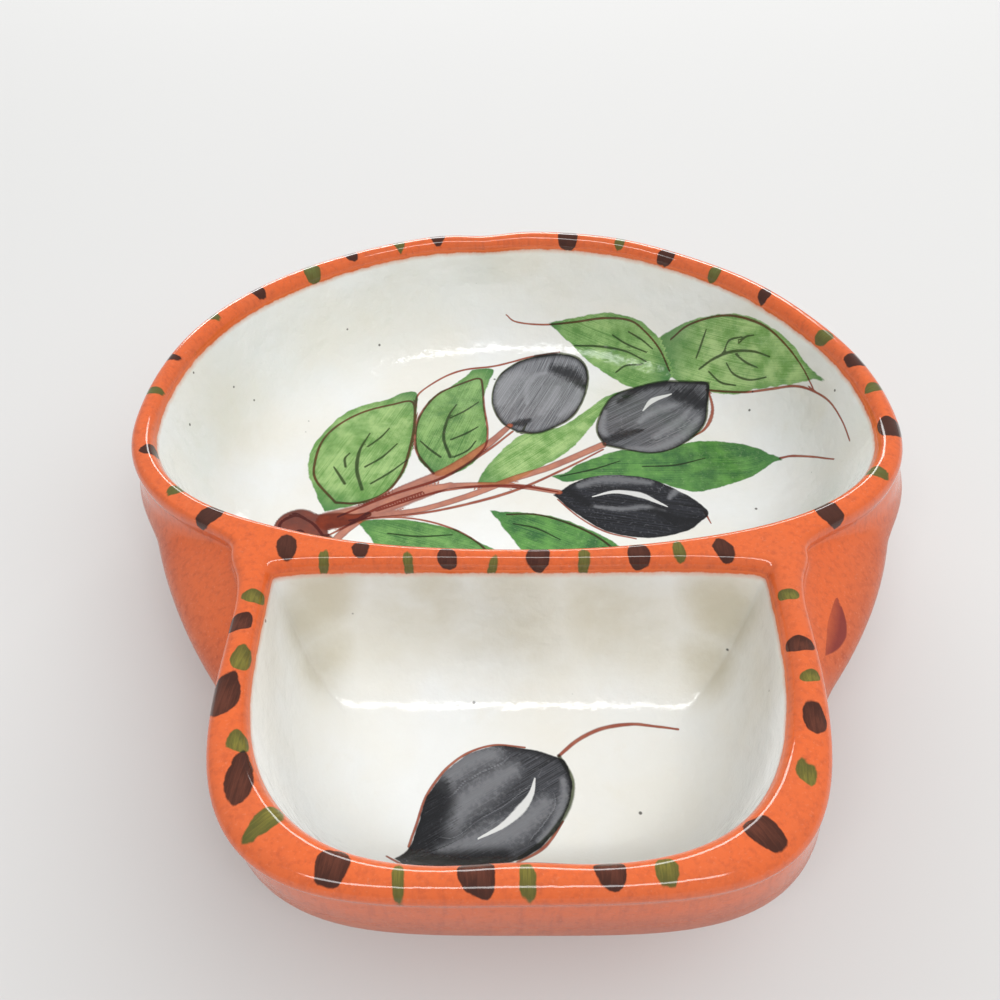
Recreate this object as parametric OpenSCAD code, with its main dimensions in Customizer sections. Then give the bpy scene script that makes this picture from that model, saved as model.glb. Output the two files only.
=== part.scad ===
// Olive dish in glazed red terracotta: a wide oval bowl for the olives and a
// small straight-sided bowl in front of it for the pits, luted face to face.
// Millimetres, +Z up, the pit bowl towards -Y. The origin is the middle of the
// body's outline, on the surface that the dish stands on.

/* [Dish] */
// Height of the dish from the table to the top of the rim
dish_h = 40; // [30:1:60]
// Height of the flat floors above the table
floor_h = 6.5; // [4:0.5:10]
// Thickness of the clay at the rim
rim_w = 5; // [4.9:0.1:7]
// Radius of the rounded outer side of the rim
rim_r = 2.6; // [1.5:0.1:2.7]
// Distance from the middle of the divider's top to each bowl's wall face
divider_half = 2.2; // [2.1:0.1:4]
// How far the walls have slumped sideways on the way down from the rim
foot_lean = 4; // [0:0.5:6]

/* [Main bowl] */
// Width of the main bowl over its rim
main_w = 166; // [140:1:200]
// Reach of the main bowl from its widest line to the back of its rim
main_back = 73; // [60:1:90]
// Distance from the divider back to the widest line of the main bowl
main_line = 42; // [34:1:50]
// How far the main bowl's oval would run on in front of the divider
main_front = 4; // [2:0.5:6]
// Fullness of the oval behind the widest line, 2 for a true ellipse
main_back_power = 2.05; // [1.8:0.05:3]
// Fullness of the oval in front of the widest line
main_front_power = 2.35; // [2.1:0.05:3]
// How far the side walls swell out past the rim
main_belly = 2; // [0:0.1:3]
// How far the side walls draw in from rim to foot
main_foot_in = 14.5; // [8:0.5:20]
// How far the inner wall leans in from the slip line to the floor
main_lean = 6; // [2:0.5:10]
// Radius that the inner wall turns through into the floor
main_turn = 14; // [8:1:20]
// How far the lip rounds outwards from the wall to the crown of the rim
main_lip = 2.2; // [1.5:0.1:2.3]

/* [Pit bowl] */
// Width of the pit bowl over its rim
pit_w = 103.5; // [90:0.5:120]
// Thickness of the clay at the pit bowl's rim
pit_rim_w = 5.5; // [5.4:0.1:7]
// Distance from the divider to the front of the rim
pit_len = 63.5; // [50:0.5:75]
// Distance from the divider forward to the widest line of the pit bowl
pit_line = 5; // [4.5:0.5:12]
// Fullness of the rounded front outside, higher for squarer corners
pit_front_power = 4; // [2.5:0.1:5]
// Fullness of the rounded front inside
pit_room_power = 3.3; // [2.5:0.1:5]
// Fullness of the compartment's back corners
pit_corner_power = 5; // [3:0.5:8]
// How far the wall draws in from rim to foot
pit_foot_in = 16; // [8:1:18]
// How far the inner wall leans in from the slip line to the floor
pit_lean = 5; // [2:0.5:8]
// Radius that the inner wall turns through into the floor
pit_turn = 11; // [6:1:14]
// How far the lip rounds outwards from the wall to the crown of the rim
pit_lip = 2.7; // [1.5:0.1:2.8]

/* [Waist] */
// How much narrower than the main bowl the egg that fills the waist is
waist_less = 2.6; // [2:0.2:8]
// How far short of the pit bowl's front that egg ends
waist_short = 7.5; // [6:0.5:20]
// Fullness of that egg towards the pit bowl, lower for a slimmer waist
waist_power = 1.7; // [1.4:0.05:2]
// How much narrower the waist is at the rim, on each side
waist_in = 15; // [10:0.5:18]
// Height of the widest part of the body above the table
belly_h = 27; // [20:1:28]
// Width over which the rims of the two bowls run into each other
web = 26; // [10:1:30]
// Width over which the walls run into the waist
waist_web = 6; // [4:0.5:10]
// How late the walls turn in towards the foot, higher for a rounder foot
foot_power = 1.8; // [1.5:0.1:3]
// Size of the turned-under edge of the foot
foot_r = 1.5; // [0.5:0.1:2]

/* [Thumb press] */
// Depth of the small press in the back rim
press_in = 2; // [0:0.1:3]
// Half width of that press
press_w = 8; // [6:1:14]
// Distance of that press to the left of the rim's middle
press_left = 7.5; // [0:0.5:20]

/* [Slip] */
// Thickness of the cream slip coat in both bowls
slip_t = 0.5; // [0.4:0.1:1]
// Depth of the slip's edge below the top of the rim
slip_drop = 3.6; // [2.5:0.1:6]

/* [Hidden] */
clay = "#C8643C";
slip = "#EFEBDC";

// Columns round the body and round each bowl, and steps down the walls
body_cols = 72;
bowl_cols = 64;
wall_steps = 7;
foot_steps = 5;
neck_steps = 3;
roll_step = 30;
halvings = 24;
overrun = 2;

roll_z = dish_h - rim_r;
bead_turn = 30;
neck_power = 1.5;
turn_power = 4;
view_depth = 6;
bead_z = roll_z - rim_r * sin(bead_turn);
bead_in = rim_r - rim_r * cos(bead_turn);
slip_z = dish_h - slip_drop;
far = main_w + pit_w + pit_len;

// A plan shape is [half width, back reach, back power, front reach, front
// power, place of its widest line], all measured from the divider at y = 0.
// Its shares say how each of these follows when the shape is drawn in.
all_round_shares = [1, 1, 0, 1, 0, 0];
but_front_shares = [1, 1, 0, 0, 0, 0];
but_back_shares = [1, 0, 0, 1, 0, 0];
square_back_shares = [1, 0, 0, 2, 0, 1];
main_lip_shares = [1, 1, 0, 0.9, 0, 0];
pit_lip_shares = [1, 0, 0, 1.75, 0, 0.75];
main_plan = [main_w / 2, main_back, main_back_power,
    main_line + main_front, main_front_power, main_line];
pit_plan = [pit_w / 2, pit_line + divider_half, pit_corner_power,
    pit_len - pit_line, pit_front_power, -pit_line];
waist_plan = [(main_w - waist_less) / 2, main_back - waist_less, 2,
    main_line + pit_len - waist_short, waist_power, main_line];
main_room = [main_w / 2 - rim_w, main_back - rim_w, main_back_power,
    main_line - divider_half, main_front_power, main_line];
pit_room = [pit_w / 2 - pit_rim_w, pit_line - divider_half, pit_corner_power,
    pit_len - pit_line - pit_rim_w, pit_room_power, -pit_line];

// Above 1 where the point (x, y) is outside the plan shape
function level(plan, x, y) =
    y > plan[5]
        ? pow(abs(x) / plan[0], plan[2]) + pow((y - plan[5]) / plan[1], plan[2])
        : pow(abs(x) / plan[0], plan[4]) + pow((plan[5] - y) / plan[3], plan[4]);

// Distance from the divider's middle to the plan's edge, found by halving
function reach(plan, turn, low, high, left) =
    let (mid = (low + high) / 2)
    left == 0
        ? mid
        : level(plan, mid * cos(turn), mid * sin(turn)) > 1
            ? reach(plan, turn, low, mid, left - 1)
            : reach(plan, turn, mid, high, left - 1);

// The larger of two reaches, with a smooth web where they are alike
function webbed(a, b, blend) =
    let (near = max(blend - abs(a - b), 0))
    max(a, b) + near * near / blend / 4;

// How far the thumb has pushed the back rim in at one place
function press(x, height) =
    let (fade = max((height - belly_h) / (dish_h - belly_h), 0))
    press_in * fade * exp(-pow((x + press_left) / press_w, 2));

// One level ring of the outer wall
function body_ring(height, main_inset, pit_inset, waist_inset) = [
    let (slump = foot_lean * (1 - height / dish_h))
    for (i = [0 : body_cols - 1])
        let (turn = 360 * i / body_cols)
        let (oval = reach(main_plan - main_inset * but_front_shares, turn, 0, far, halvings))
        let (box = reach(pit_plan - pit_inset * but_back_shares, turn, 0, far, halvings))
        let (waist = reach(waist_plan - waist_inset * all_round_shares, turn, 0, far, halvings))
        let (out = webbed(webbed(oval, box, web), waist, waist_web))
        let (x = out * cos(turn), y = out * sin(turn))
        [x + slump, sin(turn) > 0 ? y - press(x, height) : y, height]
];

// The outer wall from the foot up to the crown of the rim
body_rings = concat(
    [body_ring(0, main_foot_in + foot_r, pit_foot_in + foot_r, main_foot_in + foot_r)],
    [
        for (i = [foot_steps : -1 : 0])
            let (down = pow(i / foot_steps, foot_power))
            body_ring(
                belly_h - (belly_h - foot_r) * i / foot_steps,
                (main_foot_in + main_belly) * down - main_belly,
                pit_foot_in * down,
                main_foot_in * down
            )
    ],
    [
        for (i = [1 : neck_steps])
            let (up = i / neck_steps)
            body_ring(
                belly_h + (bead_z - belly_h) * up,
                (bead_in + main_belly) * up - main_belly,
                bead_in * up,
                waist_in * pow(up, neck_power)
            )
    ],
    [
        for (turn = [roll_step - bead_turn : roll_step : 90])
            let (inset = rim_r - rim_r * cos(turn))
            body_ring(roll_z + rim_r * sin(turn), inset, inset, waist_in + inset)
    ]
);

// A number's power that keeps its sign
function even_pow(a, power) = sign(a) * pow(abs(a), power);

// One level ring of a bowl's hollow
function room_ring(plan, shares, height, inset) =
    let (room = plan - inset * shares)
    [
        for (i = [0 : bowl_cols - 1])
            let (turn = 360 * i / bowl_cols, back = sin(turn) > 0)
            let (power = 2 / (back ? room[2] : room[4]))
            let (x = room[0] * even_pow(cos(turn), power))
            let (y = room[5] + (back ? room[1] : room[3]) * even_pow(sin(turn), power))
            [x, y > main_line ? y - press(x, height) : y, height]
    ];

// The hollow's wall from its floor up to the slip line
function room_wall(plan, shares, lean, turn_r, skin) = [
    for (i = [wall_steps : -1 : 0])
        let (down = sin(90 * i / wall_steps))
        let (bend = 1 - sqrt(1 - pow(down, turn_power)))
        let (height = slip_z - (slip_z - floor_h - skin) * down)
        room_ring(plan, shares, height, lean * down + turn_r * bend + skin)
];

// The hollow's mouth, rounded outwards from the slip line to the crown of the rim
function room_mouth(plan, shares, lip) = concat(
    [
        for (turn = [roll_step : roll_step : 90])
            room_ring(plan, shares, slip_z + slip_drop * sin(turn), lip * cos(turn) - lip)
    ],
    [room_ring(plan, shares, dish_h + overrun, -lip)]
);

main_wall = room_wall(main_room, all_round_shares, main_lean, main_turn, 0);
pit_wall = room_wall(pit_room, square_back_shares, pit_lean, pit_turn, 0);

// Where the middle of the whole body lies, seen from the divider's middle
body_xs = [for (ring = body_rings) for (p = ring) p[0]];
body_ys = [for (ring = body_rings) for (p = ring) p[1]];
middle_x = (max(body_xs) + min(body_xs)) / 2;
middle_y = (max(body_ys) + min(body_ys)) / 2;

// The middle of a ring's points
function middle(ring) = [for (p = ring) 1] * ring / len(ring);

// A closed solid through a stack of level rings, its two ends fanned from their middles
module loft(rings) {
    n = len(rings[0]);
    last = len(rings) - 1;
    points = [for (ring = rings) for (p = ring) p];
    ends = [middle(rings[0]), middle(rings[last])];
    bottom = [for (i = [0 : n - 1]) [i, (i + 1) % n, len(points)]];
    top = [for (i = [0 : n - 1]) [last * n + (i + 1) % n, last * n + i, len(points) + 1]];
    sides = [
        for (k = [0 : last - 1])
            for (i = [0 : n - 1])
                let (j = (i + 1) % n)
                let (low = k * n, high = (k + 1) * n)
                for (face = [[low + i, high + i, high + j], [low + i, high + j, low + j]])
                    face
    ];
    polyhedron(concat(points, ends), concat(bottom, top, sides), convexity = view_depth);
}

// The whole clay body before the hollows are taken out, cut at the divider
module half_body(side) {
    intersection() {
        loft(body_rings);
        translate([-far, side > 0 ? 0 : -far, -overrun])
            cube([2 * far, far, dish_h + 2 * overrun]);
    }
}

// Thin coat lying on a hollow's floor and wall, up to the slip line
module coat(wall, skin) {
    loft(concat(wall, [for (i = [len(skin) - 1 : -1 : 0]) skin[i]]));
}

module main_bowl() {
    color(clay)
        translate([-middle_x, -middle_y, 0])
            difference() {
                half_body(1);
                loft(concat(main_wall, room_mouth(main_room, main_lip_shares, main_lip)));
            }
}

module pit_bowl() {
    color(clay)
        translate([-middle_x, -middle_y, 0])
            difference() {
                half_body(-1);
                loft(concat(pit_wall, room_mouth(pit_room, pit_lip_shares, pit_lip)));
            }
}

module main_slip_coat() {
    color(slip)
        translate([-middle_x, -middle_y, 0])
            coat(main_wall, room_wall(main_room, all_round_shares, main_lean, main_turn, slip_t));
}

module pit_slip_coat() {
    color(slip)
        translate([-middle_x, -middle_y, 0])
            coat(pit_wall, room_wall(pit_room, square_back_shares, pit_lean, pit_turn, slip_t));
}

main_bowl();
pit_bowl();
main_slip_coat();
pit_slip_coat();
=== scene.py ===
import math

import bpy
import numpy as np
from mathutils.geometry import delaunay_2d_cdt
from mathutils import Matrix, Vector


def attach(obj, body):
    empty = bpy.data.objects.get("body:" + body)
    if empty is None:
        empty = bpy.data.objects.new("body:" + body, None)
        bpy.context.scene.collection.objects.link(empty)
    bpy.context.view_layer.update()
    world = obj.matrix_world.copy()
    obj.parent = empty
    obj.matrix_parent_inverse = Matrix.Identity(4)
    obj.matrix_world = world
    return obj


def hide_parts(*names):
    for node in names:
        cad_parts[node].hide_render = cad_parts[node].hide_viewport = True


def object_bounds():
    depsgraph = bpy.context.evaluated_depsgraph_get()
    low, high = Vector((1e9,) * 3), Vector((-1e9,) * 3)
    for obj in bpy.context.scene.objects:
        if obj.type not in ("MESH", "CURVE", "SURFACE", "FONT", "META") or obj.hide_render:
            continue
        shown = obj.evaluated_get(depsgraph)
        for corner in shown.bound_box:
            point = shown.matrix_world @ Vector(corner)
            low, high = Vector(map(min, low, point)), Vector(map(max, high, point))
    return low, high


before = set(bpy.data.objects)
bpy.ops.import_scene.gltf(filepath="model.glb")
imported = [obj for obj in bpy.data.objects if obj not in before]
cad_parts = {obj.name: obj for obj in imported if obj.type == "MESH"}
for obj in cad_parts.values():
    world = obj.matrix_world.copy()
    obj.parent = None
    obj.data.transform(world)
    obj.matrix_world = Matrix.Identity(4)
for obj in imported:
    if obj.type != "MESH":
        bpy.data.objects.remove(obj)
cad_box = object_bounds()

MM = 0.001
scene = bpy.context.scene
scene.view_settings.view_transform = "Standard"

# Camera: held close in front of the dish and above it, it looks down into both bowls
# with the wide lens of a phone.
camera_data = bpy.data.cameras.new("camera")
camera_data.sensor_width = 36
camera_data.lens = 33.28
camera = bpy.data.objects.new("camera", camera_data)
camera.location = (-4.6 * MM, -138 * MM, 172.5 * MM)
camera.rotation_euler = (math.radians(43.18), 0, 0)
scene.collection.objects.link(camera)
scene.camera = camera

# Clay body: two press-moulded bowls of red earthenware, luted together at the divider
# and smoothed by hand while leather-hard, so that the thick rolled rim runs on without
# a seam. The junctions are filled with clay, and the waist below them is pear-shaped.
# Sizes are in millimetres; the higher a power, the squarer its curve.
DISH_H = 40
FLOOR_H = 6.5
RIM_W = 5
RIM_R = 2.6
DIVIDER_HALF = 2.2
FOOT_SLUMP = 4
MAIN_W, MAIN_BACK, MAIN_LINE, MAIN_FRONT = 166, 73, 42, 4
MAIN_BACK_POWER, MAIN_FRONT_POWER = 2.05, 2.35
MAIN_BELLY, MAIN_FOOT_IN, MAIN_LEAN, MAIN_TURN, MAIN_LIP = 2, 14.5, 6, 14, 2.2
PIT_W, PIT_LEN, PIT_LINE, PIT_RIM_W = 103.5, 63.5, 5, 5.5
PIT_FRONT_POWER, PIT_ROOM_POWER, PIT_CORNER_POWER = 4, 3.3, 5
PIT_FOOT_IN, PIT_LEAN, PIT_TURN, PIT_LIP = 16, 5, 11, 2.7
WAIST_LESS, WAIST_SHORT, WAIST_POWER, WAIST_IN = 2.6, 7.5, 1.7, 15
BELLY_H, WEB, WAIST_WEB, FOOT_R, FOOT_POWER = 27, 26, 6, 1.5, 1.8
PRESS_IN, PRESS_W, PRESS_X = 2, 8, -7.5
SLIP_T, SLIP_DROP = 0.5, 3.6
SLIP_Z = DISH_H - SLIP_DROP
ROLL_Z = DISH_H - RIM_R
BEAD_TURN = math.radians(30)
BODY_COLS, BOWL_COLS = 720, 480
FOOT_RINGS, BELLY_RINGS, NECK_RINGS, BEAD_RINGS, LIP_RINGS, BOWL_RINGS = 5, 25, 13, 17, 13, 14
FOOT_HOLLOW, HOLLOW_RISE, HOLLOW_SHIFT = 0.5, 12, 20
GRID_X, GRID_Y, GRID_STEP, GRID_CLEAR = (-84, 85), (-66, 118), 1.6, 0.9

# A plan is half width, back reach and power, front reach and power, widest line.
# Its shares say how each of these follows when the shape is drawn in.
ALL_ROUND = np.array([1, 1, 0, 1, 0, 0])
BUT_FRONT = np.array([1, 1, 0, 0, 0, 0])
BUT_BACK = np.array([1, 0, 0, 1, 0, 0])
SQUARE_BACK = np.array([1, 0, 0, 2, 0, 1])
MAIN_LIP_SHARES = np.array([1, 1, 0, 0.9, 0, 0])
PIT_LIP_SHARES = np.array([1, 0, 0, 1.75, 0, 0.75])
main_plan = np.array([MAIN_W / 2, MAIN_BACK, MAIN_BACK_POWER,
                      MAIN_LINE + MAIN_FRONT, MAIN_FRONT_POWER, MAIN_LINE])
pit_plan = np.array([PIT_W / 2, PIT_LINE + DIVIDER_HALF, PIT_CORNER_POWER,
                     PIT_LEN - PIT_LINE, PIT_FRONT_POWER, -PIT_LINE])
waist_plan = np.array([(MAIN_W - WAIST_LESS) / 2, MAIN_BACK - WAIST_LESS, 2,
                       MAIN_LINE + PIT_LEN - WAIST_SHORT, WAIST_POWER, MAIN_LINE])
main_room = np.array([MAIN_W / 2 - RIM_W, MAIN_BACK - RIM_W, MAIN_BACK_POWER,
                      MAIN_LINE - DIVIDER_HALF, MAIN_FRONT_POWER, MAIN_LINE])
pit_room = np.array([PIT_W / 2 - PIT_RIM_W, PIT_LINE - DIVIDER_HALF, PIT_CORNER_POWER,
                     PIT_LEN - PIT_LINE - PIT_RIM_W, PIT_ROOM_POWER, -PIT_LINE])


def plan_reach(plan, turns):
    """Distance from the divider's middle to the plan's edge along each turn."""
    low, high = np.zeros_like(turns), np.full_like(turns, MAIN_W + PIT_W)
    for _ in range(30):
        mid = (low + high) / 2
        y = mid * np.sin(turns) - plan[5]
        power = np.where(y > 0, plan[2], plan[4])
        depth = np.where(y > 0, plan[1], plan[3])
        out = (np.abs(mid * np.cos(turns)) / plan[0]) ** power + (np.abs(y) / depth) ** power > 1
        high, low = np.where(out, mid, high), np.where(out, low, mid)
    return (low + high) / 2


def webbed(a, b, blend):
    """The larger reach, with a filled web where the two are alike."""
    near = np.maximum(blend - np.abs(a - b), 0)
    return np.maximum(a, b) + near * near / blend / 4


def thumb_press(x, z):
    """How far a thumb has pushed the soft back rim in."""
    fade = np.clip((z - BELLY_H) / (DISH_H - BELLY_H), 0, 1)
    return PRESS_IN * fade * np.exp(-(((x - PRESS_X) / PRESS_W) ** 2))


def body_ring(z, main_in, pit_in, waist_in):
    """One level ring of the outer wall, which has slumped a little to the right."""
    turns = np.linspace(0, 2 * math.pi, BODY_COLS, endpoint=False)
    oval = plan_reach(main_plan - main_in * BUT_FRONT, turns)
    box = plan_reach(pit_plan - pit_in * BUT_BACK, turns)
    waist = plan_reach(waist_plan - waist_in * ALL_ROUND, turns)
    out = webbed(webbed(oval, box, WEB), waist, WAIST_WEB)
    x, y = out * np.cos(turns), out * np.sin(turns)
    y = np.where(y > 0, y - thumb_press(x, z), y)
    return np.c_[x + FOOT_SLUMP * (1 - z / DISH_H), y, np.full_like(x, z)]


def room_ring(plan, shares, z, inset, cols):
    """One level ring of a bowl's hollow, its points at even steps."""
    room = plan - inset * shares
    turns = np.linspace(0, 2 * math.pi, 4 * cols + 1)
    c, s = np.cos(turns), np.sin(turns)
    power = 2 / np.where(s > 0, room[2], room[4])
    x = room[0] * np.sign(c) * np.abs(c) ** power
    y = room[5] + np.where(s > 0, room[1], room[3]) * np.sign(s) * np.abs(s) ** power
    y = np.where(y > MAIN_LINE, y - thumb_press(x, z), y)
    step = np.r_[0, np.cumsum(np.hypot(np.diff(x), np.diff(y)))]
    at = np.linspace(0, step[-1], cols, endpoint=False)
    return np.c_[np.interp(at, step, x), np.interp(at, step, y), np.full(cols, z)]


def lip_ring(plan, shares, width, turn, cols):
    """One ring of the rounded lip, which is as wide as given and drops to the slip line."""
    z = SLIP_Z + SLIP_DROP * math.sin(turn)
    return room_ring(plan, shares, z, width * (math.cos(turn) - 1), cols)


def room_wall(plan, shares, lean, turn_r, steps, cols):
    """Rings of a hollow's wall, from the slip line down to the floor's edge."""
    rings = []
    for i in range(steps + 1):
        down = math.sin(math.pi / 2 * i / steps)
        bend = 1 - math.sqrt(max(0, 1 - down ** 4))
        z = SLIP_Z - (SLIP_Z - FLOOR_H) * down
        rings.append(room_ring(plan, shares, z, lean * down + turn_r * bend, cols))
    return rings


body_rings = [body_ring(0, MAIN_FOOT_IN + FOOT_R, PIT_FOOT_IN + FOOT_R, MAIN_FOOT_IN + FOOT_R)]
belly_in = MAIN_FOOT_IN + MAIN_BELLY
for turn in np.linspace(0, math.pi / 2, FOOT_RINGS)[1:-1]:
    inset = FOOT_R * (1 - math.sin(turn))
    body_rings.append(body_ring(FOOT_R * (1 - math.cos(turn)), MAIN_FOOT_IN + inset,
                                PIT_FOOT_IN + inset, MAIN_FOOT_IN + inset))
for t in np.linspace(1, 0, BELLY_RINGS):
    down = t ** FOOT_POWER
    body_rings.append(body_ring(BELLY_H - (BELLY_H - FOOT_R) * t, belly_in * down - MAIN_BELLY,
                                PIT_FOOT_IN * down, MAIN_FOOT_IN * down))
bead_z = ROLL_Z - RIM_R * math.sin(BEAD_TURN)
bead_in = RIM_R - RIM_R * math.cos(BEAD_TURN)
neck_in = bead_in + MAIN_BELLY
for up in np.linspace(0, 1, NECK_RINGS)[1:]:
    body_rings.append(body_ring(BELLY_H + (bead_z - BELLY_H) * up, neck_in * up - MAIN_BELLY,
                                bead_in * up, WAIST_IN * up ** 1.5))
for turn in np.linspace(-BEAD_TURN, math.pi / 2, BEAD_RINGS)[1:]:
    inset = RIM_R - RIM_R * math.cos(turn)
    body_rings.append(body_ring(ROLL_Z + RIM_R * math.sin(turn), inset, inset, WAIST_IN + inset))
body_middle = (np.max(body_rings, (0, 1)) + np.min(body_rings, (0, 1))) / 2 * (1, 1, 0)

verts, faces = [], []


def string_rings(rings, start=None, flip=False):
    """Joins rings by quads and returns the indices of the first and last."""
    n = len(rings[0])
    ids = []
    for ring in rings:
        ids.append(np.arange(n) + len(verts))
        verts.extend(ring.tolist())
    if start is not None:
        ids.insert(0, start)
    for low, high in zip(ids, ids[1:]):
        quad = np.c_[low, np.roll(low, -1), np.roll(high, -1), high]
        faces.extend((quad[:, ::-1] if flip else quad).tolist())
    return ids[0], ids[-1]


foot, crown = string_rings(body_rings)
# The underside is wiped a little hollow, so the dish stands on its foot ring
hollow = []
for k in (0.985, 0.96, 0.93, 0.88, 0.8, 0.65, 0.45, 0.25, 0.08):
    place = body_rings[0][:, :2] * k + np.array([0, HOLLOW_SHIFT * (1 - k)])
    hollow.append(np.c_[place, np.full(BODY_COLS, FOOT_HOLLOW * min(1, (1 - k) * HOLLOW_RISE))])
_, core = string_rings(hollow, foot, flip=True)
faces.append(core[::-1].tolist())


def laid_over(rings):
    """Places in plan of stacked rings, as if the rim were rolled out flat from its crown."""
    stack = np.array(rings)
    along = (np.roll(stack[0], -1, 0) - np.roll(stack[0], 1, 0))[:, :2]
    along /= np.linalg.norm(along, axis=1, keepdims=True)
    out = np.c_[along[:, 1], -along[:, 0]]
    out *= np.sign(np.sum((stack[1] - stack[0])[:, :2] * out, 1, keepdims=True))
    steps = np.diff(stack, axis=0)
    drift = np.sum(steps[:, :, :2] * along, 2)
    arc = np.sqrt(np.maximum(np.sum(steps * steps, 2) - drift * drift, 0))
    places = np.tile(stack[0, :, :2], (len(stack), 1, 1))
    places[1:] += drift.cumsum(0)[:, :, None] * along + arc.cumsum(0)[:, :, None] * out
    return places


rolled_out = {0: laid_over(body_rings[::-1])[::-1]}
mouths = []
for plan, shares, lip_shares, lip, lean, turn_r in (
        (main_room, ALL_ROUND, MAIN_LIP_SHARES, MAIN_LIP, MAIN_LEAN, MAIN_TURN),
        (pit_room, SQUARE_BACK, PIT_LIP_SHARES, PIT_LIP, PIT_LEAN, PIT_TURN)):
    lips = [lip_ring(plan, lip_shares, lip, turn, BOWL_COLS)
            for turn in np.linspace(math.pi / 2, 0, LIP_RINGS)]
    rings = lips + room_wall(plan, shares, lean, turn_r, BOWL_RINGS, BOWL_COLS)[1:]
    rolled_out[len(verts)] = laid_over(rings)
    mouth, bottom = string_rings(rings)
    faces.append(bottom.tolist())
    mouths.append(mouth)

# The flat of the rim: every point of the three outlines, with a loose grid between them
flat_ids = np.concatenate([crown] + mouths)
flat_points = np.array(verts)[flat_ids][:, :2]
edges, at = [], 0
for loop in [crown] + mouths:
    edges += [(at + i, at + (i + 1) % len(loop)) for i in range(len(loop))]
    at += len(loop)
gx, gy = np.meshgrid(np.arange(*GRID_X, GRID_STEP), np.arange(*GRID_Y, GRID_STEP))
grid = np.c_[gx.ravel(), gy.ravel()]
gap = np.min(np.linalg.norm(grid[:, None] - flat_points[None, ::2], axis=2), axis=1)


def inside(points, loop):
    """Whether each point lies inside a closed outline."""
    ax, ay = loop.T
    bx, by = np.roll(loop, -1, 0).T
    px, py = points[:, 0:1], points[:, 1:2]
    cross = ((ay > py) != (by > py)) & (px < (bx - ax) * (py - ay) / (by - ay + 1e-12) + ax)
    return cross.sum(1) % 2 == 1


def on_flat(points):
    hit = inside(points, flat_points[:BODY_COLS])
    for start in (BODY_COLS, BODY_COLS + BOWL_COLS):
        hit &= ~inside(points, flat_points[start:start + BOWL_COLS])
    return hit


grid = grid[on_flat(grid) & (gap > GRID_CLEAR)]
all_flat = np.vstack([flat_points, grid])
ids = np.r_[flat_ids, np.arange(len(grid)) + len(verts)]
verts.extend(np.c_[grid, np.full(len(grid), DISH_H)].tolist())
cut = delaunay_2d_cdt([tuple(p) for p in all_flat.tolist()], edges, [], 0, 1e-6)
tris = np.array([[cut[3][i][0] for i in face] for face in cut[2]])
faces.extend(ids[tris[on_flat(all_flat[tris].mean(1))]].tolist())
body_points = np.array(verts)
body_plan = body_points[:, :2].copy()
for start, places in rolled_out.items():
    body_plan[start:start + places.shape[0] * places.shape[1]] = places.reshape(-1, 2)


def hand_made(points):
    """Moves points by the small waves that pressing and lifting leave in the clay."""
    x, y, z = points.T
    high = np.clip(z / DISH_H, 0, 1)
    dx = 0.35 * np.sin(y / 23 + 1.1) + 0.16 * np.sin(y / 9.5 + z / 13)
    dy = 0.30 * np.sin(x / 27 + 0.4) + 0.15 * np.sin(x / 10.5 + z / 11 + 2)
    dy += 0.9 * np.exp(-((x / 9) ** 2) - ((y + PIT_LEN - 6) / 4) ** 2) * high ** 3
    dz = -0.28 * (1 + np.sin(x / 19 + y / 31 + 0.6)) - 0.12 * (1 + np.sin(x / 7.3 - y / 9.1))
    return np.c_[x + dx * high, y + dy * high, z + dz * high ** 3] - body_middle


reached = np.abs(hand_made(body_points)[:, :2]).max(0) * MM
drawn_in = min(1, *(np.array(cad_box[1][:2]) / reached))


def seat(points):
    """From the divider's middle to the frame, in metres, no wider than the solid."""
    return hand_made(points) * (drawn_in * MM, drawn_in * MM, MM)


def mesh_piece(name, points, polygons):
    mesh = bpy.data.meshes.new(name)
    mesh.from_pydata(seat(points).tolist(), [], polygons)
    mesh.validate()
    mesh.shade_smooth()
    piece = bpy.data.objects.new(name, mesh)
    scene.collection.objects.link(piece)
    return piece


def give(piece, name, values):
    """Keeps one vector for each point of a piece, for its material to read."""
    attribute = piece.data.attributes.new(name, "FLOAT_VECTOR", "POINT")
    attribute.data.foreach_set("vector", np.ascontiguousarray(values, np.float32).ravel())


body = mesh_piece("clay_body", body_points, faces)

# Brush dabs over the rim: place in the frame, length along the stroke and width, all in
# millimetres, and where the stroke's round end points: in, out, or up the page
BLACK_DABS = [
    (-81, 32.5, 5.4, 3.2, "in"), (-64.9, 59, 5.4, 3.6, "in"), (-44, 76, 5, 3.4, "in"),
    (-21.5, 84, 5.6, 5, "in"), (13.6, 83, 6.2, 6.4, "in"), (38.9, 74.6, 5.4, 4.4, "in"),
    (61.9, 57.6, 5, 3.2, "in"), (77.4, 31.2, 5.6, 5, "in"), (78.8, 8.4, 6.4, 6.2, "out"),
    (59.6, -17, 6.6, 6, "out"), (-77.3, 2, 5, 4.2, "out"), (-61.6, -17.6, 6.4, 5, "out"),
    (-45.1, -25.6, 6, 4.2, "out"), (-31.1, -26, 3.4, 3.8, "out"), (-14.8, -28, 4.4, 4.2, "out"),
    (2.3, -28, 5.6, 5.4, "out"), (21.2, -27.8, 5.6, 5.2, "out"), (37.2, -26.4, 5.4, 4.4, "out"),
    (-50.9, -42.4, 3.8, 5.6, "up"), (-50.2, -56.8, 8.4, 5.6, "up"), (-44.3, -71.6, 8.6, 4.8, "up"),
    (-28.4, -85.6, 6, 5, "out"), (-7.5, -87.2, 5.8, 6.4, "out"), (11.7, -86.9, 4.8, 5.6, "out"),
    (35, -81, 6.2, 5.2, "out"), (46.6, -61.4, 5.6, 4.6, "up"), (46.9, -47, 3.2, 5.4, "up")]
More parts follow.
